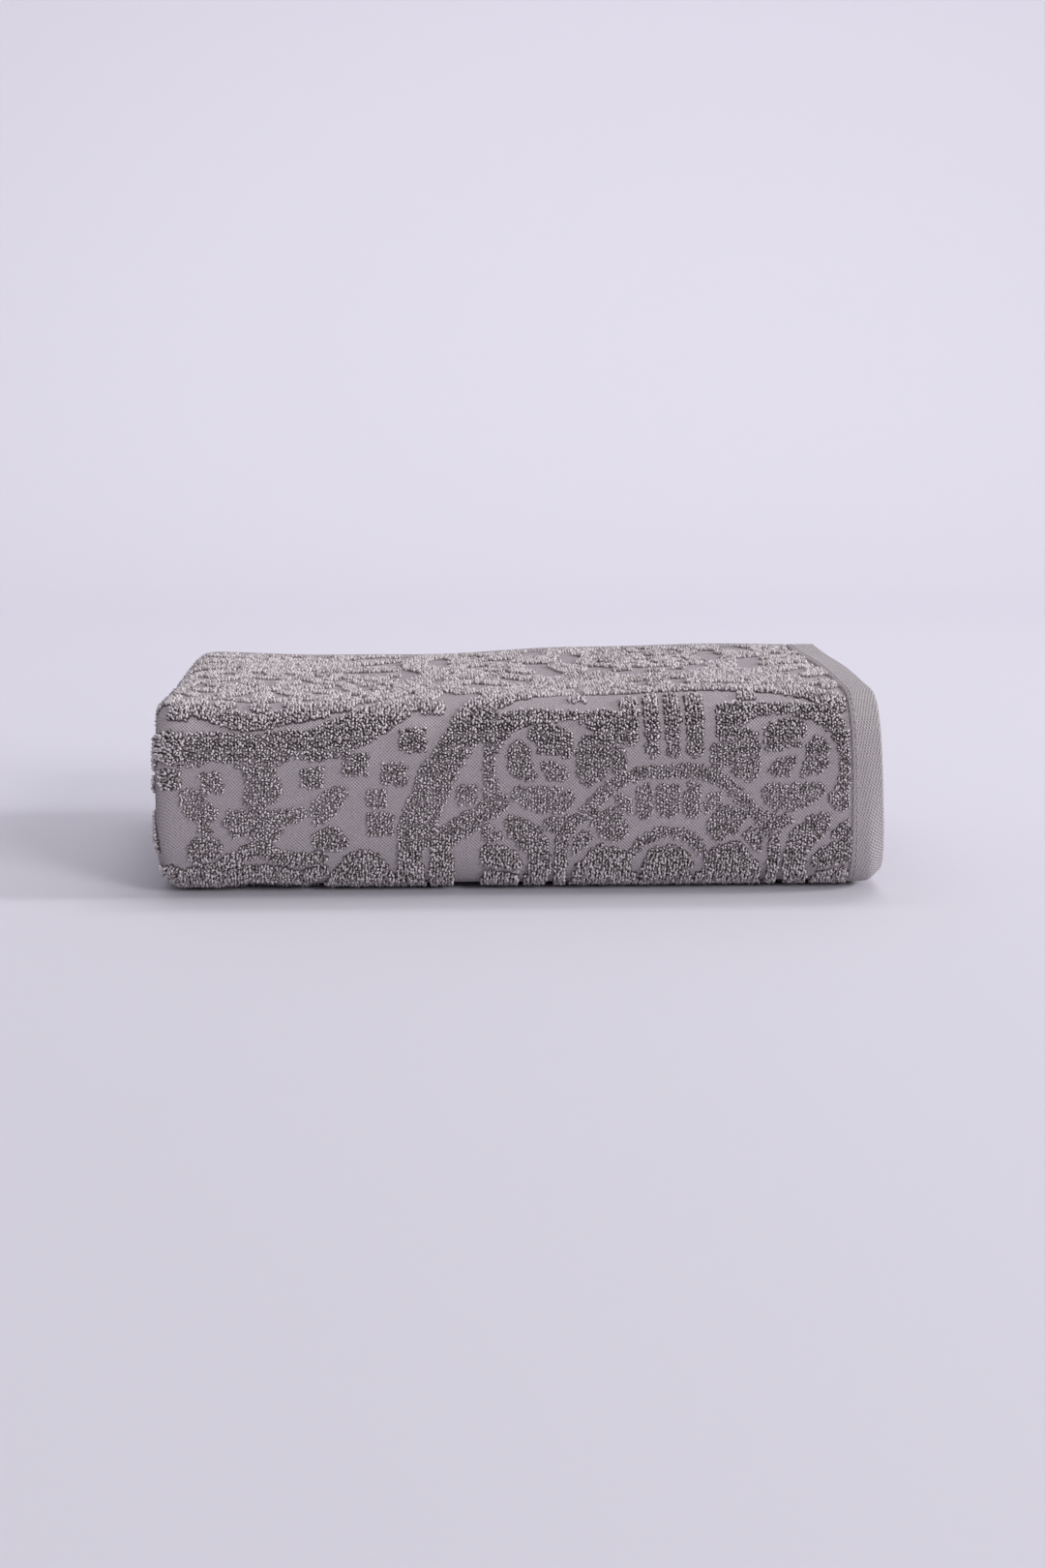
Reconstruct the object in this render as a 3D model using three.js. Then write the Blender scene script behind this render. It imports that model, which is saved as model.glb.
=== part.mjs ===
// A bath towel of sculpted terry, folded for the shelf.
//
// The towel is one rectangle of cloth with a doubled hem on each of its four edges, each held by a row of
// stitches. It is folded in half twice along its length, which makes a strip four layers thick, and the strip is
// then folded in three across, which makes twelve layers. It lies flat with the outer fold to the front. Its end
// hems are at the right. One side edge lies loose on top at the back, and the other is tucked in behind the front
// fold.
//
// Millimetres, +Z up, +X to the right, the front fold at -Y. The origin is under the middle of the folded towel.
//
// Every piece is a flat outline in the strip, across (x) and through (the height above the strip's inner face),
// that is extruded along the stations of the fold across. So all the pieces bend round the same folds and stay
// together.
import * as THREE from "three";

// The flat towel.
const CLOTH_LENGTH = 1400; // between the outer edges of the end hems
const CLOTH_WIDTH = 700; // between the outer edges of the side hems
const LAYER_PITCH = 8; // one layer of terry as it lies in the stack
const LAYER_GAP = 0.6; // free height between two layers
const END_HEM_WIDTH = 17;
const SIDE_HEM_WIDTH = 10;
const HEM_THICKNESS = 4.5; // woven flat and turned in, so it is thinner than the pile
const SEAM_GAP = 0.3; // between pieces that touch
const THREAD_THICKNESS = 0.7;
const STITCH_INSET = 3; // from a hem's inner edge to the middle of its stitches

// How the folds lie.
const FRONT_REACH = 0.66; // how far the front fold stands out, as a share of its half height
const FRONT_SQUARENESS = 2.7; // 2 is an ellipse, and more is squarer
const BACK_REACH = 0.85;
const BACK_SQUARENESS = 2.2;
const TURN_SETBACK = 2; // of the right-hand turn, inside the first end hem's edge
const SECOND_END_SETBACK = 4; // of the second end hem, inside the first one's edge
const OUTER_EDGE_SETBACK = 4; // of the loose edge on top, inside the back fold
const INNER_EDGE_SETBACK = 3; // of the tucked edge, behind the start of the front fold
const EDGE_STEP = 1.2; // each layer further out in the strip ends this much sooner
const FRONT_STEPS = 14;
const BACK_STEPS = 10;
const TURN_STEPS = 5; // three.js doubles this on a circle

// What follows from them.
const LAYERS_IN_STRIP = 4;
const STRIP = LAYERS_IN_STRIP * LAYER_PITCH; // height of one pass of the strip
const PILE_HALF = (LAYER_PITCH - LAYER_GAP) / 2;
const HEM_HALF = HEM_THICKNESS / 2;
const MIDDLE = 1.5 * STRIP; // height of the middle of the front fold
const WIDE_TURN = 1.5 * LAYER_PITCH; // radii of the strip's turns, at the middle of the cloth
const TIGHT_TURN = 0.5 * LAYER_PITCH;
const LEFT_REACH = WIDE_TURN + PILE_HALF;
const RIGHT_REACH = TIGHT_TURN + PILE_HALF;

// Folded width: four passes and three turns use up the cloth's length.
const FOLDED_WIDTH =
  (CLOTH_LENGTH +
    4 * LEFT_REACH +
    2 * (RIGHT_REACH + TURN_SETBACK) +
    SECOND_END_SETBACK -
    Math.PI * (WIDE_TURN + 2 * TIGHT_TURN)) /
  LAYERS_IN_STRIP;

// A point on a squared half ellipse of half height 1, from angle -90 degrees to 90: how far out, and how high.
function squared(angle, reach, squareness) {
  const power = 2 / squareness;
  const high = Math.abs(Math.sin(angle)) ** power * Math.sign(angle);
  return [reach * Math.max(Math.cos(angle), 0) ** power, high];
}

function squaredLength(reach, squareness, steps) {
  let length = 0;
  for (let i = 0; i < steps; i++) {
    const a = squared(-Math.PI / 2 + (Math.PI * i) / steps, reach, squareness);
    const b = squared(-Math.PI / 2 + (Math.PI * (i + 1)) / steps, reach, squareness);
    length += Math.hypot(b[0] - a[0], b[1] - a[1]);
  }
  return length;
}

// Folded depth: three passes and two turns use up the cloth's width, measured half-way up the strip.
const FRONT_OUT = FRONT_REACH * (MIDDLE - LAYER_GAP / 2);
const BACK_OUT = BACK_REACH * (STRIP - LAYER_GAP / 2);
const FOLDED_DEPTH =
  (CLOTH_WIDTH +
    3 * FRONT_OUT +
    2 * BACK_OUT +
    OUTER_EDGE_SETBACK +
    INNER_EDGE_SETBACK +
    EDGE_STEP * LAYERS_IN_STRIP -
    squaredLength(FRONT_REACH, FRONT_SQUARENESS, FRONT_STEPS) * STRIP -
    (squaredLength(BACK_REACH, BACK_SQUARENESS, BACK_STEPS) * STRIP) / 2) /
  3;

const RIGHT = FOLDED_WIDTH / 2;
const LEFT_TURN_X = -RIGHT + LEFT_REACH;
const RIGHT_TURN_X = RIGHT - TURN_SETBACK - RIGHT_REACH;
const SECOND_END_X = RIGHT - SECOND_END_SETBACK;
const FRONT_TURN_Y = -FOLDED_DEPTH / 2 + FRONT_OUT;
const BACK_TURN_Y = FOLDED_DEPTH / 2 - BACK_OUT;

const layer = (number) => (number - 0.5) * LAYER_PITCH; // 1 is the strip's inner layer and 4 its outer one

// ---- Outlines in the strip -----------------------------------------------------------------------------------

// One side of the folded cloth, at this distance from its middle, as the passes and turns that it runs through.
// The first end is on layer 4; then come the wide turn on the left, layer 1, the right-hand turn, layer 2, the
// tight turn on the left, and the second end on layer 3.
function passes(offset, firstEnd, secondEnd) {
  return [
    { to: [firstEnd, layer(4) + offset] },
    { to: [LEFT_TURN_X, layer(4) + offset] },
    { turn: [LEFT_TURN_X, 2 * LAYER_PITCH], radius: WIDE_TURN + offset, from: 90, upTo: 270 },
    { to: [RIGHT_TURN_X, layer(1) - offset] },
    { turn: [RIGHT_TURN_X, LAYER_PITCH], radius: TIGHT_TURN + offset, from: -90, upTo: 90 },
    { to: [LEFT_TURN_X, layer(2) + offset] },
    { turn: [LEFT_TURN_X, 2 * LAYER_PITCH], radius: TIGHT_TURN - offset, from: 270, upTo: 90 },
    { to: [secondEnd, layer(3) - offset] },
  ];
}

function drawTurn(shape, { turn, radius }, from, upTo) {
  const angles = [from, upTo].map(THREE.MathUtils.degToRad);
  shape.absarc(...turn, radius, ...angles, upTo < from);
}

// The cloth between two distances from its middle, folded into the strip.
function foldedOutline(low, high, firstEnd, secondEnd) {
  const shape = new THREE.Shape();
  const there = passes(high, firstEnd, secondEnd);
  const back = passes(low, firstEnd, secondEnd).reverse();
  shape.moveTo(...there[0].to);
  for (const leg of there.slice(1)) {
    if (leg.turn) drawTurn(shape, leg, leg.from, leg.upTo);
    else shape.lineTo(...leg.to);
  }
  // Going back, a straight leg ends where the leg before it began.
  shape.lineTo(...back[0].to);
  back.forEach((leg, i) => {
    if (leg.turn) {
      const radians = THREE.MathUtils.degToRad(leg.upTo);
      const [x, height] = leg.turn;
      shape.lineTo(x + leg.radius * Math.cos(radians), height + leg.radius * Math.sin(radians));
      drawTurn(shape, leg, leg.upTo, leg.from);
    } else if (i === back.length - 1) shape.lineTo(...leg.to);
  });
  return shape;
}

function boxOutline(left, right, low, high) {
  const shape = new THREE.Shape();
  shape.moveTo(left, low);
  shape.lineTo(right, low);
  shape.lineTo(right, high);
  shape.lineTo(left, high);
  shape.closePath();
  return shape;
}

// ---- Stations of the fold across -----------------------------------------------------------------------------

// Each station turns a height in the strip into a place (y, z). The list runs from the loose edge on top, forwards
// and down the front fold, back underneath, up the back fold and forwards to the tucked edge.
function frontTurn() {
  const found = [];
  for (let i = 0; i <= FRONT_STEPS; i++) {
    const angle = Math.PI * (0.5 - i / FRONT_STEPS);
    const [out, high] = squared(angle, FRONT_REACH, FRONT_SQUARENESS);
    found.push((height) => {
      const half = STRIP / 2 + height;
      return [FRONT_TURN_Y - out * half, MIDDLE + high * half];
    });
  }
  return found;
}

function backTurn() {
  const found = [];
  for (let i = 0; i <= BACK_STEPS; i++) {
    const angle = Math.PI * (i / BACK_STEPS - 0.5);
    const [out, high] = squared(angle, BACK_REACH, BACK_SQUARENESS);
    found.push((height) => [BACK_TURN_Y + out * height, STRIP + high * height]);
  }
  return found;
}

// The two edges, this far in from the cloth's own edge.
function looseEdge(inset) {
  const edge = FOLDED_DEPTH / 2 - OUTER_EDGE_SETBACK - inset;
  return (height) => [edge - (EDGE_STEP * height) / LAYER_PITCH, 2 * STRIP + height];
}

function tuckedEdge(inset) {
  const edge = FRONT_TURN_Y + INNER_EDGE_SETBACK + inset;
  return (height) => [edge + (EDGE_STEP * height) / LAYER_PITCH, STRIP + height];
}

const wholeWidth = (inset) => [looseEdge(inset), ...frontTurn(), ...backTurn(), tuckedEdge(inset)];

// ---- Pieces --------------------------------------------------------------------------------------------------

// An outline extruded through the stations, with each vertex put where its station says.
function alongStations(outline, stations) {
  const steps = stations.length - 1;
  const geometry = new THREE.ExtrudeGeometry(outline, {
    depth: steps,
    steps,
    bevelEnabled: false,
    curveSegments: TURN_STEPS,
  });
  const place = geometry.getAttribute("position");
  for (let i = 0; i < place.count; i++) {
    const [y, z] = stations[Math.round(place.getZ(i))](place.getY(i));
    place.setXYZ(i, place.getX(i), y, z - LAYER_GAP / 2); // the underside is at 0
  }
  geometry.computeVertexNormals();
  return geometry;
}

const MATERIALS = {
  terry: new THREE.MeshStandardMaterial({ color: 0x98919a, roughness: 0.98, metalness: 0 }),
  hem: new THREE.MeshStandardMaterial({ color: 0xa39ca2, roughness: 0.9, metalness: 0 }),
  thread: new THREE.MeshStandardMaterial({ color: 0xaaa3a8, roughness: 0.75, metalness: 0 }),
};

const towel = new THREE.Group();

function add(name, outline, stations, material) {
  const mesh = new THREE.Mesh(alongStations(outline, stations), MATERIALS[material]);
  mesh.name = name;
  towel.add(mesh);
}

const clothFirstEnd = RIGHT - END_HEM_WIDTH - SEAM_GAP;
const clothSecondEnd = SECOND_END_X - END_HEM_WIDTH - SEAM_GAP;
const clothInset = SIDE_HEM_WIDTH + SEAM_GAP;
const threadLow = HEM_HALF + SEAM_GAP;
const threadHigh = threadLow + THREAD_THICKNESS;
const threadHalf = THREAD_THICKNESS / 2;

function terryCloth() {
  const outline = foldedOutline(-PILE_HALF, PILE_HALF, clothFirstEnd, clothSecondEnd);
  add("terry_cloth", outline, wholeWidth(clothInset), "terry");
}

// The end hems run the whole width of the towel, corners included. towards is 1 where the hem's outer face is the
// strip's outer side, and its stitches lie on that face.
function endHem(name, edgeX, level, towards) {
  const hem = boxOutline(edgeX - END_HEM_WIDTH, edgeX, level - HEM_HALF, level + HEM_HALF);
  add(name, hem, wholeWidth(0), "hem");
  const stitchX = edgeX - END_HEM_WIDTH + STITCH_INSET;
  const heights = [level + towards * threadLow, level + towards * threadHigh].sort((a, b) => a - b);
  const row = boxOutline(stitchX - threadHalf, stitchX + threadHalf, ...heights);
  add(`${name}_stitches`, row, wholeWidth(SEAM_GAP), "thread");
}

// The side hems run between the end hems, round the turns of the strip. Their stations run the way of wholeWidth,
// so that the extrusion faces outwards.
function sideHem(name, edge, backwards) {
  const row = SIDE_HEM_WIDTH - STITCH_INSET;
  const edges = [edge(0), edge(SIDE_HEM_WIDTH)];
  const rowEdges = [edge(row - threadHalf), edge(row + threadHalf)];
  if (backwards) [edges, rowEdges].forEach((list) => list.reverse());
  add(name, foldedOutline(-HEM_HALF, HEM_HALF, clothFirstEnd, clothSecondEnd), edges, "hem");
  const thread = foldedOutline(threadLow, threadHigh, clothFirstEnd, clothSecondEnd);
  add(`${name}_stitches`, thread, rowEdges, "thread");
}

terryCloth();
endHem("first_end_hem", RIGHT, layer(4), 1);
endHem("second_end_hem", SECOND_END_X, layer(3), -1);
sideHem("loose_side_hem", looseEdge, false);
sideHem("tucked_side_hem", tuckedEdge, true);

export default towel;
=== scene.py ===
import math

import bmesh
import bpy
import mathutils
import numpy as np
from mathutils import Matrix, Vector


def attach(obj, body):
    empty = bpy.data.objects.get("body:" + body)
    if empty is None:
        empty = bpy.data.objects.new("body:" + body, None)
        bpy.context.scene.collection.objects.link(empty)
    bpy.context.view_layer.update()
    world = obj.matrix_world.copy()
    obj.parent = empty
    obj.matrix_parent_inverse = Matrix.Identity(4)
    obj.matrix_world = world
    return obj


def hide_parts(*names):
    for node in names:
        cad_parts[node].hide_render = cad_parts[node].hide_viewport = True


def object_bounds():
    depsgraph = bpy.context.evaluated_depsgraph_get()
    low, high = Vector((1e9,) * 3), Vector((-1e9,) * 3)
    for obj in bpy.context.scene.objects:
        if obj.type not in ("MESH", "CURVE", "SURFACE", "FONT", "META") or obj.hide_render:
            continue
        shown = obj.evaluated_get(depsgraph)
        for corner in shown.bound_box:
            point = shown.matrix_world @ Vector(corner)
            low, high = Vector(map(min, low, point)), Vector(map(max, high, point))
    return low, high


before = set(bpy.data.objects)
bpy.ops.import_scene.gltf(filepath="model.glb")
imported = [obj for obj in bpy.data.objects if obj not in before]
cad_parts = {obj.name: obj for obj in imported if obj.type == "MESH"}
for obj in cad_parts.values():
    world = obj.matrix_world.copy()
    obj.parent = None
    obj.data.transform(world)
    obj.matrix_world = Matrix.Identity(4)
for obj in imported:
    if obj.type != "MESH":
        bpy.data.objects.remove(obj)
frame_box = [list(corner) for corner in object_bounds()]
scene = bpy.context.scene
scene.view_settings.view_transform = "Standard"


# ---- Camera: a little higher than the towel and well over a metre from its front fold.
camera_data = bpy.data.cameras.new("camera")
camera = bpy.data.objects.new("camera", camera_data)
scene.collection.objects.link(camera)
scene.camera = camera
camera_data.lens = 55.0
camera_data.sensor_width = 36.0
camera_data.dof.use_dof = False
camera.rotation_mode = "XYZ"
camera.location = (-0.043, -1.248, 0.241)
camera.rotation_euler = (math.radians(90 - 9.34), 0.0, math.radians(-2.2))


# ---- Terry ground: the woven sheet under the pile, 700 by 1400 mm, folded in half twice along its length
# and then in three across. Its vertices are laid out in the flat cloth, closer where it folds, and carried
# to the folded towel. The hems at its edges are pieces of their own.
LENGTH, WIDTH = 1.400, 0.700
END_HEM, SIDE_HEM = 0.017, 0.010
# From one layer's middle to the next, half the gap between layers, half a layer with its pile, and how far the
# ground's face lies from the cloth's middle.
PITCH = 0.008
LIFT = 0.0003
PILE = PITCH / 2 - LIFT
GROUND = 0.0011
# The strip of four layers, the height of the towel's middle, and the towel's box.
STRIP = 4 * PITCH
MIDDLE = 1.5 * STRIP
RIGHT = frame_box[1][0]
DEPTH = frame_box[1][1] - frame_box[0][1]
HEIGHT = frame_box[1][2]
# The front and back turns: how deep each is for its height, how square it is, and where it is centred.
FRONT_REACH, FRONT_SQUARENESS = 0.66, 2.7
BACK_REACH, BACK_SQUARENESS = 0.85, 2.2
FRONT_TURN_Y = -DEPTH / 2 + FRONT_REACH * (MIDDLE - LIFT)
BACK_TURN_Y = DEPTH / 2 - BACK_REACH * (STRIP - LIFT)
# The strip's own turns, at the left and at the right, where each further layer ends a little short of the last.
SHORT = 0.002
WIDE_TURN, TIGHT_TURN = 1.5 * PITCH, 0.5 * PITCH
LEFT_TURN_X = -RIGHT + WIDE_TURN + PILE
RIGHT_TURN_X = RIGHT - SHORT - TIGHT_TURN - PILE
TOP_LAYER = 3.5 * PITCH


def distance_along(points):
    steps = np.linalg.norm(np.diff(points, axis=0), axis=1)
    return np.concatenate([[0], np.cumsum(steps)])


def arc(x, height, radius, start, end, squareness=2.0):
    angle = np.radians(np.linspace(start, end, 33))
    power = 2 / squareness
    across, up = np.cos(angle), np.sin(angle)
    right = radius * np.sign(across) * abs(across) ** power
    above = radius * np.sign(up) * abs(up) ** power
    return np.stack([x + right, height + above], 1)


# The strip's profile, as places (x, height) from the first end to the second.
profile = np.concatenate(
    [
        [[RIGHT, TOP_LAYER]],
        arc(LEFT_TURN_X, 2 * PITCH, WIDE_TURN, 90, 270, 3.0),
        arc(RIGHT_TURN_X, PITCH, TIGHT_TURN, -90, 90),
        arc(LEFT_TURN_X, 2 * PITCH, TIGHT_TURN, 270, 90),
        [[RIGHT - 2 * SHORT, 2.5 * PITCH]],
    ]
)
profile_at = distance_along(profile)
profile_at *= LENGTH / profile_at[-1]
profile_facing = np.gradient(profile, profile_at, axis=0)
profile_facing /= np.linalg.norm(profile_facing, axis=1)[:, None]


def squared(start, end, count, reach, squareness):
    """How far out and how high, along a squared half ellipse of half height 1."""
    angle = np.linspace(start, end, count)
    power = 2 / squareness
    high = np.abs(np.sin(angle)) ** power * np.sign(angle)
    return reach * np.maximum(np.cos(angle), 0) ** power, high


front_out, front_high = squared(np.pi / 2, -np.pi / 2, 61, FRONT_REACH, FRONT_SQUARENESS)
back_out, back_high = squared(-np.pi / 2, np.pi / 2, 41, BACK_REACH, BACK_SQUARENESS)


def fold_across(height):
    """The places (y, z) from the loose edge on top, round the front and underneath, to the tucked edge."""
    half = STRIP / 2 + height
    step = 0.0012 * height / PITCH
    front = np.stack([FRONT_TURN_Y - front_out * half, MIDDLE + front_high * half], 1)
    back = np.stack([BACK_TURN_Y + back_out * height, STRIP + back_high * height], 1)
    loose = [[DEPTH / 2 - 0.004 - step, 2 * STRIP + height]]
    tucked = [[FRONT_TURN_Y + 0.003 + step, STRIP + height]]
    return np.concatenate([loose, front, back, tucked])


inner, outer = fold_across(0.0), fold_across(STRIP)
inner_length, outer_length = distance_along(inner), distance_along(outer)
across_at = (inner_length + outer_length) / 2
across_at *= WIDTH / across_at[-1]
top_length = distance_along(fold_across(TOP_LAYER + PILE))


def eased(value, start, end):
    share = np.clip((value - start) / (end - start), 0, 1)
    return share * share * (3 - 2 * share)


# Each wave's height, its turns in radians per metre along x and along y, and where it starts.
WAVES = [(0.0011, 19, 0, 0.6), (0.0008, 41, -7, 1.9), (0.0005, 67, 23, 4.0), (0.0006, 9, 31, 0.8)]
RIGHT_HALF_SWELL = 0.0042


def settle(place):
    """The stack sags and swells a little, most on top and not at all underneath. Its right end draws in,
    and the lowest layers lift there."""
    x, y, z = np.moveaxis(place, -1, 0)
    rise = np.clip(z / HEIGHT, 0, 1)
    swell = sum(high * np.sin(by_x * x + by_y * y + start) for high, by_x, by_y, start in WAVES)
    swell += RIGHT_HALF_SWELL * eased(x, 0.0, 0.09)
    swell *= rise**1.5
    end = eased(x, RIGHT - 0.034, RIGHT)
    drawn = end * (0.0015 + 0.0040 * rise * eased(y, 0.05, -0.09))
    lifted = 0.006 * eased(x, RIGHT - 0.008, RIGHT + 0.002) * (1 - rise) ** 2 * eased(y, 0.02, -0.10)
    return np.stack([x - drawn, y + 0.4 * swell + 0.6 * lifted, z + swell + lifted], -1)


def fold(along, across, out=0.0):
    """Where the folded towel has a place of the flat cloth, or one this far out from the cloth's middle."""
    x, height = (np.interp(along, profile_at, places) for places in profile.T)
    facing_x, facing_height = (np.interp(along, profile_at, facing) for facing in profile_facing.T)
    size = np.hypot(facing_x, facing_height)
    x = x + out * facing_height / size
    share = (height - out * facing_x / size) / STRIP
    y, z = (
        (1 - share) * np.interp(across, across_at, near) + share * np.interp(across, across_at, far)
        for near, far in zip(inner.T, outer.T)
    )
    return settle(np.stack([x, y, z - LIFT], -1))


def true_length(along, across):
    """How far across the cloth a place is in its own layer."""
    share = np.interp(along, profile_at, profile[:, 1]) / STRIP
    near, far = np.interp(across, across_at, inner_length), np.interp(across, across_at, outer_length)
    return (1 - share) * near + share * far


NEARBY = 0.001


def loft(along, across):
    """How thick the cloth is at a place: 1 where it lies free, less where the layers are pressed together."""
    room = np.linalg.norm(fold(along, across, NEARBY) - fold(along, across), axis=-1)
    return np.minimum(room / NEARBY, 1)


def marks(start, end, turns, fine, coarse):
    """Places from start to end, closer together inside the turns."""
    edges = [start, *[edge for turn in turns for edge in turn], end]
    found = []
    for i in range(len(edges) - 1):
        step = fine if i % 2 else coarse
        count = max(1, round((edges[i + 1] - edges[i]) / step))
        found.append(np.linspace(edges[i], edges[i + 1], count, endpoint=False))
    return np.concatenate([*found, [end]])


# Where the strip turns along its length, and where the cloth turns across it.
along_turns = [(profile_at[first], profile_at[first + 32]) for first in (1, 34, 67)]
across_turns = [(across_at[1], across_at[61]), (across_at[62], across_at[102])]


def folded_sheet(name, along, across, thickness, offset=0.0):
    """A sheet on these lines of the flat cloth, with true lengths in metres as its UV map."""
    sheet_bm = bmesh.new()
    bmesh.ops.create_grid(sheet_bm, x_segments=len(along) - 1, y_segments=len(across) - 1, size=0.5)
    spots = np.array([vertex.co for vertex in sheet_bm.verts]) + 0.5
    along = along[np.round(spots[:, 0] * (len(along) - 1)).astype(int)]
    across = across[np.round(spots[:, 1] * (len(across) - 1)).astype(int)]
    for vertex, place in zip(sheet_bm.verts, fold(along, across)):
        vertex.co = place
    mesh = bpy.data.meshes.new(name)
    sheet_bm.to_mesh(mesh)
    sheet_bm.free()
    corners = np.empty(len(mesh.loops), np.int32)
    mesh.loops.foreach_get("vertex_index", corners)
    flat = np.stack([along, true_length(along, across)], -1)[corners]
    mesh.uv_layers.new(name="cloth").data.foreach_set("uv", flat.reshape(-1))
    mesh.polygons.foreach_set("use_smooth", np.ones(len(mesh.polygons), bool))
    piece = bpy.data.objects.new(name, mesh)
    scene.collection.objects.link(piece)
    pressed = piece.vertex_groups.new(name="loft")
    for index, share in enumerate(loft(along, across)):
        pressed.add([index], float(share), "REPLACE")
    thick = piece.modifiers.new("thickness", "SOLIDIFY")
    thick.thickness = thickness
    thick.offset = offset
    thick.vertex_group = "loft"
    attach(piece, "root")
    return piece


def linear(hex_colour):
    """The linear colour of an sRGB one."""
    channels = [int(hex_colour[i : i + 2], 16) / 255 for i in (1, 3, 5)]
    return (*[c / 12.92 if c <= 0.04045 else ((c + 0.055) / 1.055) ** 2.4 for c in channels], 1.0)


def add_node(tree, kind, inputs=(), **settings):
    """A new node with these settings, and each input either set or linked."""
    made = tree.nodes.new(kind)
    for key, value in settings.items():
        setattr(made, key, value)
    for key, value in dict(inputs).items():
        if isinstance(value, bpy.types.NodeSocket):
            tree.links.new(value, made.inputs[key])
        else:
            made.inputs[key].default_value = value
    return made


def cotton(name, hex_colour):
    material = bpy.data.materials.new(name)
    material.use_nodes = True
    shader = material.node_tree.nodes["Principled BSDF"]
    shader.inputs["Base Color"].default_value = linear(hex_colour)
    shader.inputs["Roughness"].default_value = 0.95
    shader.inputs["Specular IOR Level"].default_value = 0.12
    shader.inputs["Sheen Weight"].default_value = 0.05
    shader.inputs["Sheen Roughness"].default_value = 0.5
    return material


def woven(name, hex_colour, along_step, across_step, lean, depth):
    """Flat-woven cotton: threads cross at these steps in metres, each row leaning on the one before it."""
    material = cotton(name, hex_colour)
    tree = material.node_tree
    shader = tree.nodes["Principled BSDF"]
    place = add_node(tree, "ShaderNodeUVMap", uv_map="cloth").outputs["UV"]
    axes = add_node(tree, "ShaderNodeSeparateXYZ", {"Vector": place}).outputs
    along, across = 2 * math.pi / along_step, 2 * math.pi / across_step
    maths = "ShaderNodeMath"
    turns = add_node(tree, maths, {0: axes["X"], 1: along}, operation="MULTIPLY").outputs[0]
    rows = add_node(tree, maths, {0: axes["Y"], 1: across}, operation="MULTIPLY").outputs[0]
    leaning = add_node(tree, maths, {0: rows, 1: lean, 2: turns}, operation="MULTIPLY_ADD").outputs[0]
    ridge = add_node(tree, maths, {0: leaning}, operation="SINE").outputs[0]
    knot = add_node(tree, maths, {0: rows}, operation="SINE").outputs[0]
    weave = add_node(tree, maths, {0: ridge, 1: knot}, operation="MULTIPLY").outputs[0]
    where = add_node(tree, "ShaderNodeTexCoord").outputs["Object"]
    lint = {"Vector": where, "Scale": 1100.0, "Detail": 3.0}
    fuzz = add_node(tree, "ShaderNodeTexNoise", lint).outputs["Fac"]
    relief = add_node(tree, maths, {0: fuzz, 1: 1.6, 2: weave}, operation="MULTIPLY_ADD").outputs[0]
    raised_threads = {"Height": relief, "Distance": depth, "Strength": 1.0}
    bump = add_node(tree, "ShaderNodeBump", raised_threads).outputs["Normal"]
    tree.links.new(bump, shader.inputs["Normal"])
    colour = linear(hex_colour)
    # The colour is darker in the weave's hollows and lighter on its ridges: painted shade and painted
    # highlight.
    painted_shade_hollows_to_ridges = {"Value": relief, "From Min": -0.4, "From Max": 2.0, "To Min": 0.74, "To Max": 1.14}
    shade = add_node(tree, "ShaderNodeMapRange", painted_shade_hollows_to_ridges).outputs["Result"]
    colour_and_painted_shade = {0: colour[:3], "Scale": shade}
    weave_colour_with_painted_shade = add_node(tree, "ShaderNodeVectorMath", colour_and_painted_shade, operation="SCALE").outputs[0]
    tree.links.new(weave_colour_with_painted_shade, shader.inputs["Base Color"])
    return material


# Plain-woven cotton under the pile, with its threads drawn coarser than real so that they show.
ground_cotton = woven("flat_woven_ground_cotton", "#b0a7ac", 0.0017, 0.0017, 0.0, 0.0003)
cloth_along = marks(END_HEM, LENGTH - END_HEM, along_turns, 0.0022, 0.008)
cloth_across = marks(SIDE_HEM, WIDTH - SIDE_HEM, across_turns, 0.0045, 0.009)
thickness = GROUND + PILE
terry_ground = folded_sheet("terry_ground", cloth_along, cloth_across, thickness, (GROUND - PILE) / thickness)
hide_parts("terry_cloth")
terry_ground.data.materials.append(ground_cotton)


# ---- Hems: the flat-woven edge of the cloth, turned in twice, so 4.5 mm thick. The end hems run the whole
# width and the side hems run between them.
HEM = 0.0045
hem_across = marks(0, WIDTH, across_turns, 0.0045, 0.009)
hem_places = {
    "first_end_hem": (np.linspace(0, END_HEM, 13), hem_across),
    "second_end_hem": (np.linspace(LENGTH - END_HEM, LENGTH, 8), hem_across),
    "loose_side_hem": (cloth_along, np.linspace(0, SIDE_HEM, 4)),
    "tucked_side_hem": (cloth_along, np.linspace(WIDTH - SIDE_HEM, WIDTH, 4)),
}
# Twill-woven cotton, its slanting ribs drawn coarser than real so that they show.
hem_cotton = woven("flat_woven_hem_cotton", "#b1aaad", 0.0016, 0.0026, 0.5, 0.0003)
for cad_node, (along, across) in hem_places.items():
    hem = folded_sheet(cad_node + "_band", along, across, HEM)
    rounded = hem.modifiers.new("rounded", "BEVEL")
    rounded.width = 0.0013
    rounded.segments = 3
    rounded.limit_method = "ANGLE"
    rounded.angle_limit = math.radians(50)
    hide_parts(cad_node)
    hem.data.materials.append(hem_cotton)


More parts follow.
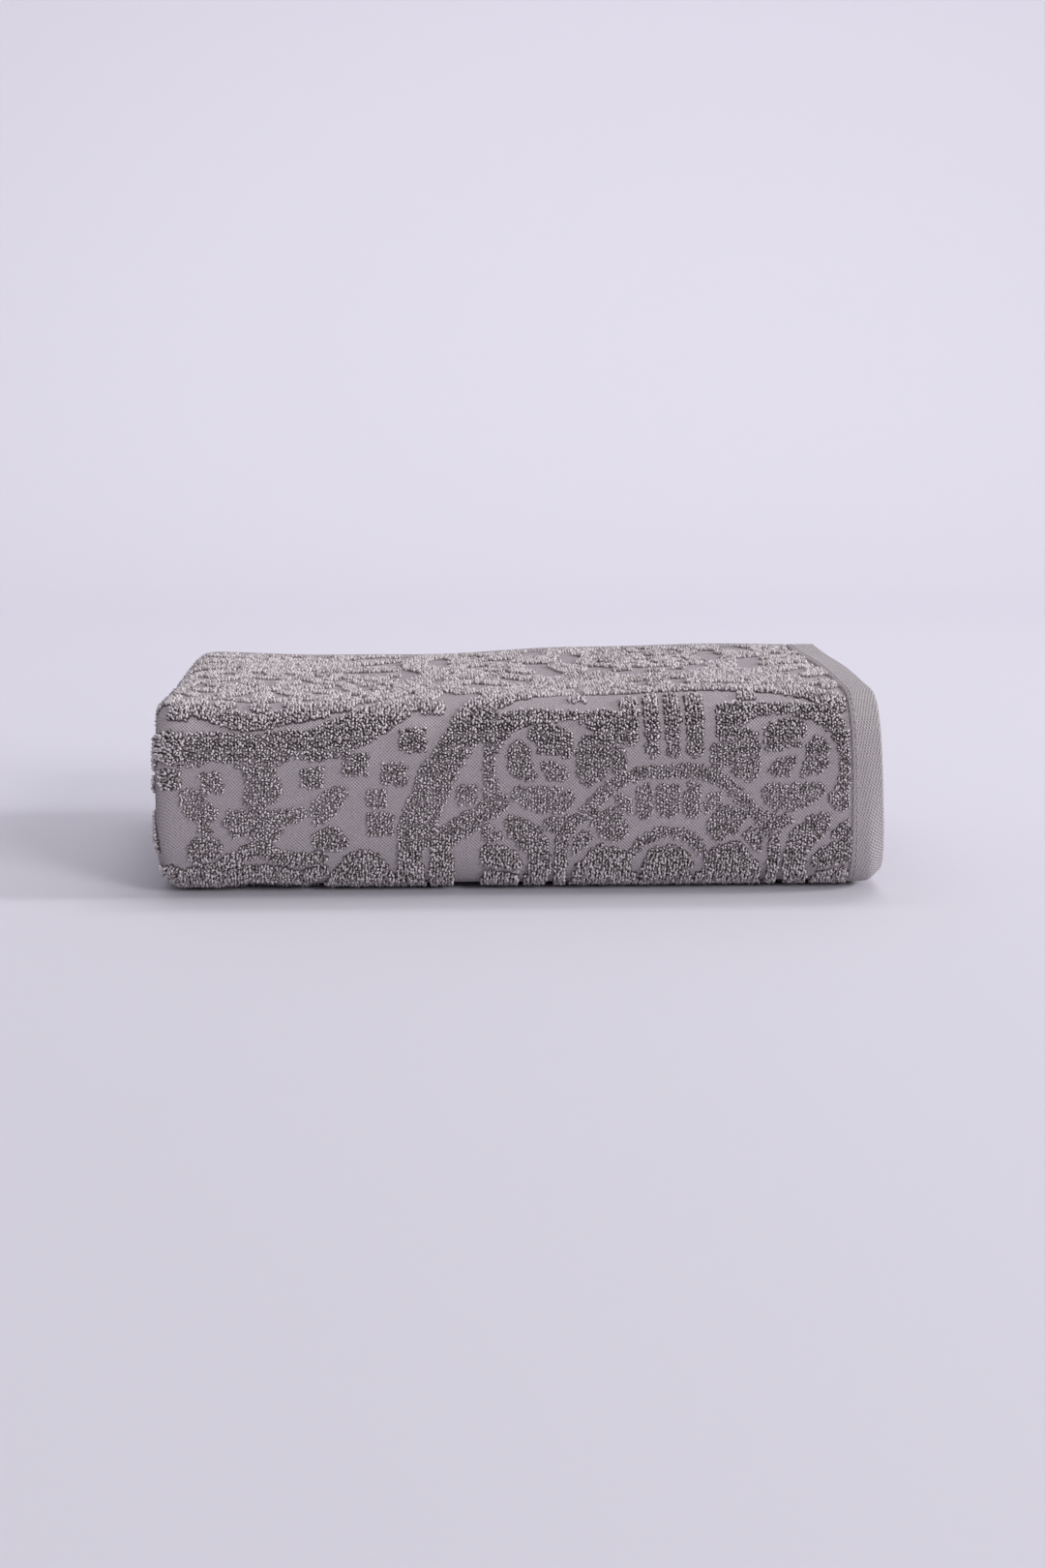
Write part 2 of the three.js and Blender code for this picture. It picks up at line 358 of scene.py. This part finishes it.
# ---- Pile: cotton loops that stand up to 2.6 mm out of the ground wherever the ornament is raised. One loop
# is spun from a small circle and copied to a slightly uneven grid. The ornament is drawn in millimetres:
# first the distance from the first end's edge, then the distance from the loose edge.
def smooth(points):
    """A line of close points through these ones, with any further numbers of each point smoothed too."""
    points = np.array(points, float)
    padded = np.concatenate([[2 * points[0] - points[1]], points, [2 * points[-1] - points[-2]]])
    share = np.linspace(0, 1, 9)[:-1, None]
    found = []
    for before, start, end, after in zip(padded, padded[1:], padded[2:], padded[3:]):
        bend = 2 * before - 5 * start + 4 * end - after
        twist = 3 * (start - end) + after - before
        found.append(start + 0.5 * share * ((end - before) + share * (bend + share * twist)))
    return np.concatenate([*found, points[-1:]])


def stroke(*points):
    """A brush stroke through points (along, across, half width)."""
    return smooth(points)


def patch(*points):
    """A filled shape inside a rounded outline through points (along, across)."""
    return smooth([*points, points[0]])


def mirrored(strokes, axis):
    """These strokes, and the same ones turned over about a line this far along."""
    flipped = [line * [-1, 1, 1][: line.shape[1]] + [2 * axis, 0, 0][: line.shape[1]] for line in strokes]
    return strokes + flipped


def around(centre, radius, start, end, half, bulge=0.0, waves=0):
    """A ring or part of one, in degrees from straight down, that may swell and shrink."""
    angle = np.radians(np.linspace(start, end, max(12, int(abs(end - start) * radius / 90))))
    reach = radius + bulge * np.cos(waves * angle)
    place = [centre[0] + reach * np.sin(angle), centre[1] + reach * np.cos(angle), np.full(len(angle), half)]
    return np.stack(place, 1)


def petals(centre, first, last, start, end, count, half):
    """Teardrops from one radius to another, thickest two thirds of the way out."""
    found = []
    for angle in np.radians(np.linspace(start, end, count)):
        way = np.linspace(first, last, 8)
        thick = half * np.array([0.45, 0.6, 0.78, 0.92, 1.0, 1.0, 0.85, 0.5])
        found.append(np.stack([centre[0] + way * np.sin(angle), centre[1] + way * np.cos(angle), thick], 1))
    return found


disc = (303, 156)
frame_corner = [
    patch(
        (83.6, 224), (76, 221), (68, 222), (58, 221), (46, 220), (34, 221), (27, 225), (21, 229),
        (18, 237), (18, 250), (18, 264), (19, 275), (25, 275), (30, 272), (30, 267), (26, 261),
        (24, 255), (24, 248), (26, 242), (31, 235), (37, 231), (44, 229), (52, 228), (60, 228),
        (66, 230), (71, 234), (74, 239), (78, 242), (83.6, 240),
    ),
    patch(
        (80, 247), (79, 253), (75, 258), (69, 261.5), (65, 259), (62.6, 253), (62.8, 244),
        (64.4, 238), (68.4, 235), (73, 237.6), (78, 242),
    ),
    patch(
        (61.4, 241), (61, 235), (55, 231), (48, 230), (42, 231.4), (39.6, 236), (43.4, 240),
        (44, 244.8), (50, 244.6), (56, 246.8), (60, 246),
    ),
    patch(
        (41, 243), (37.4, 238.6), (33, 238.6), (29.4, 243), (29.4, 250), (32, 255), (38, 258),
        (43.4, 258.6), (44, 255), (41.4, 249),
    ),
    patch(
        (59, 253), (56, 250.6), (50, 248.4), (45, 248.4), (45.6, 251), (47.6, 255), (48, 257.8),
        (53, 258.6), (58.6, 257.4),
    ),
    patch(
        (62.4, 265), (59, 262), (48, 261.6), (40, 261), (33, 261.5), (31, 266), (36, 271),
        (44, 274.5), (52, 275.5), (59, 273), (63, 268),
    ),
    patch(
        (30, 276), (37, 277), (43, 281), (48, 287), (50, 295), (51, 305), (49, 315), (46, 326),
        (40, 326), (38, 314), (40, 306), (40, 299), (36, 293), (31, 288), (28, 281),
    ),
    patch((18, 279), (22, 281), (27, 286), (28, 289), (18, 290)),
    patch((37, 301), (33, 295), (27, 292), (18, 292), (18, 303), (27, 305), (34, 308), (37, 304)),
    patch((18, 306), (27, 308), (34, 311), (35, 318), (34, 326), (18, 326)),
    stroke((83, 246, 4), (83, 251, 4.4)),
    stroke(
        (107, 255.5, 3.4), (95, 255.5, 3.4), (86, 258, 3.6), (79, 262.5, 3.6), (73, 268, 3.6),
        (68, 273.5, 3.4), (63, 279, 3.4), (58, 286, 3),
    ),
    patch((64, 276), (56, 277), (50, 277), (46, 280), (50, 284), (57, 286), (62, 283)),
    stroke((58, 279, 3), (56, 286, 3.2), (55.6, 298, 3), (55.6, 312, 3), (55.6, 326, 3)),
    patch(
        (88, 282), (85, 276), (80, 272), (75, 274), (70, 275), (69, 279), (72, 283), (74, 287),
        (78, 289), (83, 291), (87, 288),
    ),
    patch((71, 286), (66, 284), (62, 287), (61, 292), (62, 297), (66, 294), (70, 290)),
    patch(
        (90, 298), (84, 294), (78, 292), (73, 292), (69, 295), (66, 300), (62, 305), (62, 314),
        (62, 326), (92, 326), (93, 314), (89, 306),
    ),
    patch((91, 262), (98, 261), (99.5, 268), (99, 277), (94, 279), (91, 274)),
    patch((82, 265), (88, 267), (90, 273), (88, 277), (84, 273), (81, 269)),
    patch(
        (107, 261), (101.6, 262), (101.6, 269), (102, 276), (107, 278), (112, 276), (112.4, 269),
        (112.4, 262),
    ),
    stroke((107, 286, 3), (100, 287, 3), (94, 291, 3), (90, 297, 2)),
    patch(
        (107, 292), (100, 294), (96, 300), (95, 308), (97, 326), (117, 326), (119, 308),
        (118, 300), (114, 294),
    ),
]
flutes = [
    stroke((94.4, 218, 4.2), (94.2, 232, 4.6), (94.4, 245, 4.2)),
    stroke((104.6, 215, 3.4), (104.6, 230, 3.8), (104.6, 246, 3.4)),
    stroke((114.6, 214, 3.4), (114.6, 230, 3.8), (114.6, 245, 3.4)),
    stroke((125.2, 216, 4.2), (125.4, 226, 4.6), (125.4, 237, 4.2)),
]
scrolls = [
    patch(
        (310, 248), (309, 258), (310, 268), (303, 270), (296, 268), (292, 263), (293, 254),
        (296, 248), (303, 246),
    ),
    patch((319, 272), (313, 271), (308, 273), (306, 279), (309, 285), (314, 287), (319, 281)),
    patch(
        (309, 271), (304, 269), (298, 271), (290, 271), (282, 270), (280, 274), (284, 278),
        (290, 280), (292, 284), (296, 290), (302, 292), (307, 289), (308, 282),
    ),
    patch((278, 268), (272, 262), (266, 259), (260, 262), (262, 268), (266, 274), (271, 278), (277, 279)),
    patch((278, 286), (272, 281), (266, 281), (261, 287), (262, 293), (270, 294), (277, 292)),
    patch(
        (340, 263), (335, 260), (331, 262), (326, 267), (322, 271), (323, 277), (328, 279),
        (334, 278), (339, 272),
    ),
    patch((337, 291), (332, 286), (324, 286), (320, 292), (324, 298), (329, 301), (336, 300)),
    stroke((329, 278, 3), (328, 284, 3.2)),
    stroke(
        (334, 308, 5), (325, 305, 4.4), (317, 300, 4.2), (309, 295, 4.2), (302, 293, 4),
        (295, 296, 4.2), (286, 299, 4.4), (275, 298, 4),
    ),
    stroke(
        (345, 309, 6), (335, 318, 7), (322, 314, 6), (308, 308, 6), (296, 309, 6), (284, 312, 6),
        (274, 306, 4),
    ),
]
field = [
    around(disc, 68, 0, 360, 4.6, 1.2, 14),
    *[
        around((disc[0] + 57 * math.sin(angle), disc[1] + 57 * math.cos(angle)), 2.4, 0, 360, 2.6)
        for angle in np.radians(np.arange(0, 360, 16.36))
    ],
    around(disc, 44, 0, 360, 3.4, 1.6, 9),
    *petals(disc, 12, 35, 0, 320, 9, 5.5),
    stroke((disc[0] - 3, disc[1], 5), (disc[0] + 3, disc[1], 5)),
    stroke(
        (333, 203, 4.4), (331, 214, 4.6), (325, 221, 4.6), (315, 225, 4.8), (305, 225, 5),
        (295, 223, 4.8), (285, 219, 4.6), (277, 214, 4.4), (271, 208, 4),
    ),
    stroke(
        (400, 238, 8.5), (368, 239, 8), (350, 239.5, 8), (336, 241, 9), (322, 239, 7.6),
        (308, 241, 9), (297, 240, 9), (287, 236.5, 7), (277, 238, 8.4), (267, 235, 9.4),
        (256, 229, 10), (245, 222, 9.4), (234, 212, 9), (226, 200, 8), (221, 180, 7),
        (226, 158, 7), (228, 138, 8), (220, 120, 7), (219, 100, 8), (228, 80, 7), (230, 60, 7),
    ),
    *scrolls,
    stroke((376, 282, 6), (362, 286, 6.4), (356, 296, 5)),
    patch((274, 326), (271, 313), (267, 304), (260, 296), (253, 292.5), (246, 297), (240, 307), (237, 326)),
    stroke(
        (180, 196, 7), (192, 212, 8), (203, 230, 8.4), (211, 244, 8), (218, 255, 9), (221, 264, 9),
        (225, 274, 9.4), (228, 284, 9), (231, 294, 6), (231, 306, 6.4), (230, 326, 7),
    ),
    stroke(
        (190, 270, 5), (197, 276, 5.6), (205, 281, 6), (212, 286, 5.6), (216, 294, 5.4),
        (216, 306, 6), (216, 326, 6),
    ),
    *mirrored(frame_corner, 107),
    *flutes,
    stroke(
        (192, 216, 6), (178, 205, 6), (166, 198, 6), (153, 194, 6), (140, 194, 6.4), (122, 198, 7),
        (100, 202, 7), (75, 204, 7), (52, 207, 7), (38, 211, 7), (25, 219, 7),
    ),
    stroke((392, 78, 8), (340, 73, 9), (303, 70, 9), (265, 73, 9), (242, 80, 6)),
    stroke(
        (190, 196, 6), (176, 180, 7), (160, 168, 7), (140, 160, 8), (107, 158, 9), (75, 162, 8),
        (50, 172, 7), (34, 186, 6),
    ),
    *mirrored(
        [
            stroke((92, 184, 3), (86, 178, 7), (76, 178, 7), (68, 184, 3)),
            stroke((62, 190, 3), (56, 184, 6), (46, 190, 6), (38, 196, 3)),
            stroke((26, 200, 3), (22, 190, 6), (24, 178, 4)),
            stroke((70, 148, 4), (60, 152, 7), (48, 158, 7), (38, 168, 4)),
            stroke((86, 148, 3), (80, 140, 8), (70, 134, 8), (60, 138, 4)),
            stroke((30, 160, 4), (22, 150, 7), (22, 138, 5)),
            stroke((52, 142, 4), (44, 136, 8), (34, 128, 6), (24, 122, 4)),
            stroke((44, 112, 4), (38, 104, 7), (26, 100, 6)),
            stroke((40, 86, 4), (32, 80, 8), (22, 74, 5)),
            stroke((60, 76, 4), (54, 68, 8), (42, 64, 6)),
        ],
        107,
    ),
    stroke((107, 182, 6), (107, 178, 6)),
    around((108, 82), 31, 0, 360, 3.2, 1.2, 12),
    *petals((108, 82), 8, 22, 0, 315, 8, 3.6),
    stroke((66, 122, 3), (68, 112, 8), (66, 98, 7), (60, 88, 3)),
    stroke((148, 122, 3), (146, 112, 8), (150, 98, 7), (156, 88, 3)),
    stroke((208, 134, 6), (200, 120, 8), (204, 104, 6)),
    stroke((204, 186, 6), (212, 166, 6), (210, 150, 6)),
    stroke((206, 84, 6), (200, 72, 8), (206, 60, 6)),
]
# Small squares of pile: along, across and width.
SQUARES = [
    (341, 221, 9), (261.5, 214.5, 8), (220, 216.5, 11), (229, 236, 13), (256.5, 248.5, 12),
    (238, 253.5, 12), (246.5, 266, 10), (245, 280, 13), (277.5, 255, 11), (325, 257.5, 11),
    (344.5, 256.5, 10), (203.5, 265, 10), (68.5, 216, 8), (150, 211, 8), (361, 258, 10),
    (146, 112, 9), (121, 122, 9), (144, 132, 9), (104, 134, 9), (84, 140, 8), (76, 126, 7),
    (92, 124, 7), (134, 142, 6), (244, 190, 9), (250, 172, 9), (204, 152, 9), (162, 140, 8),
    (208, 90, 9), (240, 104, 9), (160, 64, 9),
]


# The lines that the design is mirrored about, where the cloth goes on past it.
MIRROR_ALONG, MIRROR_TOP, MIRROR_BOTTOM = 366, 60, 322


def raised(along, across):
    """Whether the pile is raised at these places, in millimetres. Beyond its edges the design is mirrored."""
    along = np.abs(np.where(along > MIRROR_ALONG, 2 * MIRROR_ALONG - along, along))
    across = np.abs(across - MIRROR_TOP) + MIRROR_TOP
    across = np.where(across > MIRROR_BOTTOM, 2 * MIRROR_BOTTOM - across, across)
    across = np.abs(across - MIRROR_TOP) + MIRROR_TOP
    found = np.zeros(along.shape, bool)
    for line in field:
        reach = line[:, 2:].max(initial=0)
        low, high = line[:, :2].min(0) - reach, line[:, :2].max(0) + reach
        inside = (along > low[0]) & (along < high[0]) & (across > low[1]) & (across < high[1])
        near = np.flatnonzero(inside & ~found)
        x, y = along[near, None], across[near, None]
        if line.shape[1] == 3:
            found[near] = (np.hypot(x - line[:, 0], y - line[:, 1]) < line[:, 2]).any(1)
        else:
            (x1, y1), (x2, y2) = line[:-1].T, line[1:].T
            slope = (x2 - x1) / np.where(y2 == y1, 1, y2 - y1)
            crossed = ((y1 > y) != (y2 > y)) & (x < x1 + slope * (y - y1))
            found[near] = crossed.sum(1) % 2 == 1
    for at, down, size in SQUARES:
        found |= np.maximum(np.abs(along - at), np.abs(across - down)) < size / 2
    return found


# The yarn's radius, half the loop's width and its height, and the dark foot, half sunk in the ground, painted
# shade.
YARN, LOOP_REACH, LOOP_HEIGHT = 0.00044, 0.00042, 0.0026
FOOT_RADIUS, FOOT_HEIGHT = 0.0016, 0.0008
loop_bm = bmesh.new()
bmesh.ops.create_circle(loop_bm, segments=3, radius=YARN)
ring = loop_bm.verts[:] + loop_bm.edges[:]
bmesh.ops.spin(loop_bm, geom=ring, cent=(LOOP_REACH, 0, 0), axis=(0, 1, 0), angle=math.pi, steps=4)
bmesh.ops.holes_fill(loop_bm, edges=loop_bm.edges[:])
bmesh.ops.recalc_face_normals(loop_bm, faces=loop_bm.faces[:])
bmesh.ops.translate(loop_bm, verts=loop_bm.verts[:], vec=(-LOOP_REACH, 0, 0))
bmesh.ops.scale(loop_bm, verts=loop_bm.verts[:], vec=(1, 1, LOOP_HEIGHT / (LOOP_REACH + YARN)))
above = len(loop_bm.verts)
bmesh.ops.create_cone(loop_bm, segments=5, radius1=FOOT_RADIUS, radius2=0, depth=FOOT_HEIGHT, cap_ends=True)
bmesh.ops.triangulate(loop_bm, faces=loop_bm.faces[:])
bmesh.ops.remove_doubles(loop_bm, verts=loop_bm.verts[:], dist=0.00001)
loop_bm.verts.index_update()
loop_shape = np.array([vertex.co for vertex in loop_bm.verts])
loop_faces = np.array([[vertex.index for vertex in face.verts] for face in loop_bm.faces])
loop_is_painted_shade_foot = np.array([all(vertex.index >= above for vertex in face.verts) for face in loop_bm.faces])
loop_bm.free()

# Loose-twisted cotton yarn. The loops are shapes of their own and need no drawn pattern: the light and dark
# tones are the yarn's uneven grey. The dark feet are painted shade, standing for the shade deep in the pile.
pile_yarn_and_shade_materials = [
    cotton("looped_pile_cotton", "#dcd4d7"),
    cotton("darker_looped_pile_cotton", "#a69d9f"),
    cotton("pile_foot_painted_shade", "#4c4548"),
]
random = np.random.default_rng(11)


def unit(vectors):
    return vectors / np.linalg.norm(vectors, axis=-1, keepdims=True)


def laid(name, corners, shape_faces):
    """One piece from many copies of a shape, given each copy's corners."""
    faces = (shape_faces[None] + np.arange(len(corners))[:, None, None] * corners.shape[1]).reshape(-1, 3)
    mesh = bpy.data.meshes.new(name)
    mesh.vertices.add(corners.size // 3)
    mesh.vertices.foreach_set("co", corners.reshape(-1))
    mesh.loops.add(faces.size)
    mesh.loops.foreach_set("vertex_index", faces.reshape(-1))
    mesh.polygons.add(len(faces))
    mesh.polygons.foreach_set("loop_start", np.arange(0, faces.size, 3))
    mesh.polygons.foreach_set("use_smooth", np.ones(len(faces), bool))
    mesh.update(calc_edges=True)
    piece = bpy.data.objects.new(name, mesh)
    scene.collection.objects.link(piece)
    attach(piece, "root")
    return piece


def outer_face(along, across, out=GROUND):
    """Places this far outside the cloth's middle, with the directions across, out and sideways there."""
    middle = fold(along, across)
    down = unit(fold(along, across + NEARBY / 2) - middle)
    up = fold(along, across, NEARBY) - middle
    up = unit(up - (up * down).sum(1, keepdims=True) * down)
    return middle + out * loft(along, across)[:, None] * up, down, up, np.cross(up, down)


# The loops' spacing along and across the cloth, and how far they stray from it, turn, vary in size and lean.
COLUMN, ROW = 0.00143, 0.00149
UNEVEN, TURN, STRETCH, LEAN = 0.00038, 1.5, 0.15, 0.16


def pile(name, along, across, row=ROW, size=1.0):
    """Loops wherever the ornament is raised on this stretch of the cloth's outer face."""
    places = []
    for i, at in enumerate(along):
        lengths = true_length(at, across_at)
        start, end = np.interp(across, across_at, lengths)
        rows = np.arange(start + (i % 2) * row / 2, end, row)
        places.append(np.stack([np.full(len(rows), at), np.interp(rows, lengths, across_at)], 1))
    places = np.concatenate(places)
    places += random.uniform(-UNEVEN, UNEVEN, places.shape) * size
    drawn_along, drawn_across = 1000 * places[:, 0], 1000 * np.interp(places[:, 1], across_at, top_length)
    places = places[raised(drawn_along, drawn_across)]
    along, across = places.T
    root, down, up, side = outer_face(along, across)
    turn = random.uniform(-TURN, TURN, (len(places), 1))
    length = unit(np.cos(turn) * down + np.sin(turn) * side)
    girth = np.cross(up, length)
    stretch = random.uniform(1 - STRETCH, 1 + STRETCH, (len(places), 3, 1)) * size
    lean = random.normal(0, LEAN, (len(places), 2, 1))
    x, y, z = loop_shape.T
    x, y, z = stretch[:, 0] * x, stretch[:, 1] * y, (1 - 1.6 * (1 + STRETCH - stretch[:, 2] / size)) * z
    corners = (
        root[:, None]
        + (x + lean[:, 0] * z)[..., None] * length[:, None]
        + (y + lean[:, 1] * z)[..., None] * girth[:, None]
        + z[..., None] * up[:, None]
    )
    piece = laid(name, corners, loop_faces)
    tone = random.choice([0, 1], (len(places), 1), p=[0.7, 0.3])
    # Each loop's foot gets the painted shade, and the loop itself gets a random yarn tone.
    yarn_tones_and_painted_shade = np.where(loop_is_painted_shade_foot, 2, tone).astype(np.int32)
    piece.data.polygons.foreach_set("material_index", yarn_tones_and_painted_shade.reshape(-1))
    for pile_material in pile_yarn_and_shade_materials:
        piece.data.materials.append(pile_material)


# A piece of pile holds under 200,000 faces, so the top and the front are in four stretches and the back is in
# two sets of columns. The pile is coarser underneath and deep in the folds. The front's fine pile reaches 12 mm
# underneath, and so does the back's.
left, right_turn = along_turns[0], along_turns[1]
front_top, front_end = across_at[9], across_at[61] + 0.012
under_end, back_end = across_at[62] - 0.012, across_at[102]
stretches = {
    "right": (END_HEM, 0.1),
    "middle_right": (0.1, 0.18),
    "middle_left": (0.18, 0.26),
    "left": (0.26, left[0]),
}
for name, (start, end) in stretches.items():
    columns = np.arange(start + COLUMN / 2, end, COLUMN)
    pile("pile_top_" + name, columns, (SIDE_HEM, front_top))
    pile("pile_front_" + name, columns, (front_top, front_end))
columns = np.arange(END_HEM + COLUMN / 2, left[0], COLUMN)
pile("pile_back_right", columns[::2], (under_end, back_end))
pile("pile_back_left", columns[1::2], (under_end, back_end))
pile("pile_underneath", columns[::3], (front_end, under_end), 0.0045, 1.8)
columns = np.arange(left[0], left[1], COLUMN * WIDE_TURN / (WIDE_TURN + PILE))
pile("pile_left_side_top", columns, (SIDE_HEM, front_top))
pile("pile_left_side_front", columns, (front_top, front_end))
pile("pile_left_side_back", columns[::2], (front_end, WIDTH - SIDE_HEM), 0.0021, 1.35)
columns = np.arange(right_turn[0], right_turn[1], 1.3 * COLUMN * TIGHT_TURN / (TIGHT_TURN + PILE))
pile("pile_right_side", columns, (SIDE_HEM, WIDTH - SIDE_HEM), 0.0019, 1.3)


# ---- Stitches: one line of short thread stitches on each hem, near its inner edge. A stitch is a small
# drawn-out ball, half sunk in the hem.
STITCH, THREAD_RADIUS = 0.0034, 0.0004
END_INSET, SIDE_INSET = 0.003, 0.002
stitch_bm = bmesh.new()
bmesh.ops.create_uvsphere(stitch_bm, u_segments=6, v_segments=4, radius=THREAD_RADIUS)
bmesh.ops.scale(stitch_bm, verts=stitch_bm.verts[:], vec=(3.4, 1, 0.8))
bmesh.ops.triangulate(stitch_bm, faces=stitch_bm.faces[:])
stitch_bm.verts.index_update()
stitch_shape = np.array([vertex.co for vertex in stitch_bm.verts])
stitch_faces = np.array([[vertex.index for vertex in face.verts] for face in stitch_bm.faces])
stitch_bm.free()
# Tight-twisted cotton thread. Each stitch is a shape of its own, so one plain colour is enough.
thread_cotton = cotton("sewing_thread_cotton", "#a8a0a6")
for cad_node, (along, across) in hem_places.items():
    sideways = "side" in cad_node
    if sideways:
        along = np.arange(along[0] + STITCH, along[-1] - STITCH, STITCH)
        seam_across = SIDE_HEM - SIDE_INSET if cad_node == "loose_side_hem" else WIDTH - SIDE_HEM + SIDE_INSET
        across = np.full(len(along), seam_across)
    else:
        lengths = np.interp(across, across_at, outer_length if cad_node == "first_end_hem" else inner_length)
        line = np.arange(lengths[0] + STITCH, lengths[-1] - STITCH, STITCH)
        across = np.interp(line, lengths, across)
        seam_along = END_HEM - END_INSET if cad_node == "first_end_hem" else LENGTH - END_HEM + END_INSET
        along = np.full(len(line), seam_along)
    root, down, up, side = outer_face(along, across, HEM / 2 + THREAD_RADIUS / 4)
    length, girth = (side, down) if sideways else (down, side)
    x, y, z = stitch_shape.T[..., None]
    corners = root[:, None] + x * length[:, None] + y * girth[:, None] + z * up[:, None]
    seam = laid(cad_node + "_thread", corners, stitch_faces)
    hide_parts(cad_node + "_stitches")
    seam.data.materials.append(thread_cotton)


# ---- Floor and backdrop: one pale seamless sweep of matt paper, flat under the towel and bent up behind it.
FLOOR_END, BEND = 1.4, 0.9


def swept(name, half_width):
    sweep_bm = bmesh.new()
    bend = np.radians(np.linspace(0, 90, 13))[1:]
    places = [(-8.0, 0.0), (FLOOR_END, 0.0)]
    places += [(FLOOR_END + BEND * math.sin(angle), BEND - BEND * math.cos(angle)) for angle in bend]
    places += [(FLOOR_END + BEND, 4.0)]
    line = [sweep_bm.verts.new((-half_width, y, z)) for y, z in places]
    edges = [sweep_bm.edges.new(pair) for pair in zip(line, line[1:])]
    moved = bmesh.ops.extrude_edge_only(sweep_bm, edges=edges)["geom"]
    far_side = [element for element in moved if isinstance(element, bmesh.types.BMVert)]
    bmesh.ops.translate(sweep_bm, verts=far_side, vec=(2 * half_width, 0, 0))
    bmesh.ops.recalc_face_normals(sweep_bm, faces=sweep_bm.faces[:])
    mesh = bpy.data.meshes.new(name)
    sweep_bm.to_mesh(mesh)
    sweep_bm.free()
    mesh.polygons.foreach_set("use_smooth", np.ones(len(mesh.polygons), bool))
    piece = bpy.data.objects.new(name, mesh)
    scene.collection.objects.link(piece)
    return piece


backdrop = swept("backdrop", 8.0)
paper = bpy.data.materials.new("backdrop_paper")
paper.use_nodes = True
paper_shader = paper.node_tree.nodes["Principled BSDF"]
paper_shader.inputs["Base Color"].default_value = linear("#d2cfd9")
paper_shader.inputs["Roughness"].default_value = 0.8
paper_shader.inputs["Specular IOR Level"].default_value = 0.1
backdrop.data.materials.append(paper)


# ---- Light: from the right and from the front right, each a near soft light with a far one behind it, a weak
# light above and one for the backdrop, in a pale room. The near lights stay out of sight.
def aimed(light, away):
    scene.collection.objects.link(light)
    light.visible_camera = False
    light.rotation_mode = "QUATERNION"
    light.rotation_quaternion = mathutils.Vector(away).to_track_quat("Z", "Y")


def near_light(name, place, target, size, power):
    data = bpy.data.lights.new(name, "AREA")
    data.shape = "RECTANGLE"
    data.size, data.size_y = size
    data.energy = power
    light = bpy.data.objects.new(name, data)
    light.location = place
    aimed(light, np.array(place) - np.array(target))


def far_light(name, towards, strength, spread):
    """A light a long way off in this direction, as wide as this many degrees."""
    data = bpy.data.lights.new(name, "SUN")
    data.energy = strength
    data.angle = math.radians(spread)
    aimed(bpy.data.objects.new(name, data), towards)


near_light("side_light", (1.95, -0.2, 0.8), (0, 0, 0.05), (0.4, 0.4), 10)
far_light("far_side_light", (1.95, -0.1, 0.75), 1.0, 11)
near_light("front_light", (1.2, -1.7, 0.85), (0, 0, 0.05), (0.7, 0.7), 9)
far_light("far_front_light", (1.2, -1.6, 0.8), 0.85, 18)
far_light("overhead_light", (0.3, 0.5, 1.55), 0.46, 28)
near_light("backdrop_light", (0.2, 0.9, 2.6), (0.2, 2.3, 1.0), (3.0, 1.0), 31)
world = bpy.data.worlds.new("room")
scene.world = world
world.use_nodes = True
air = world.node_tree
background = air.nodes["Background"]
background.inputs["Color"].default_value = (0.95, 0.95, 1.0, 1)
seen = add_node(air, "ShaderNodeLightPath").outputs["Is Camera Ray"]
brighter_to_the_eye = {"Value": seen, "To Min": 0.36, "To Max": 0.62}
strength = add_node(air, "ShaderNodeMapRange", brighter_to_the_eye).outputs["Result"]
air.links.new(strength, background.inputs["Strength"])
world.cycles.sampling_method = "NONE"
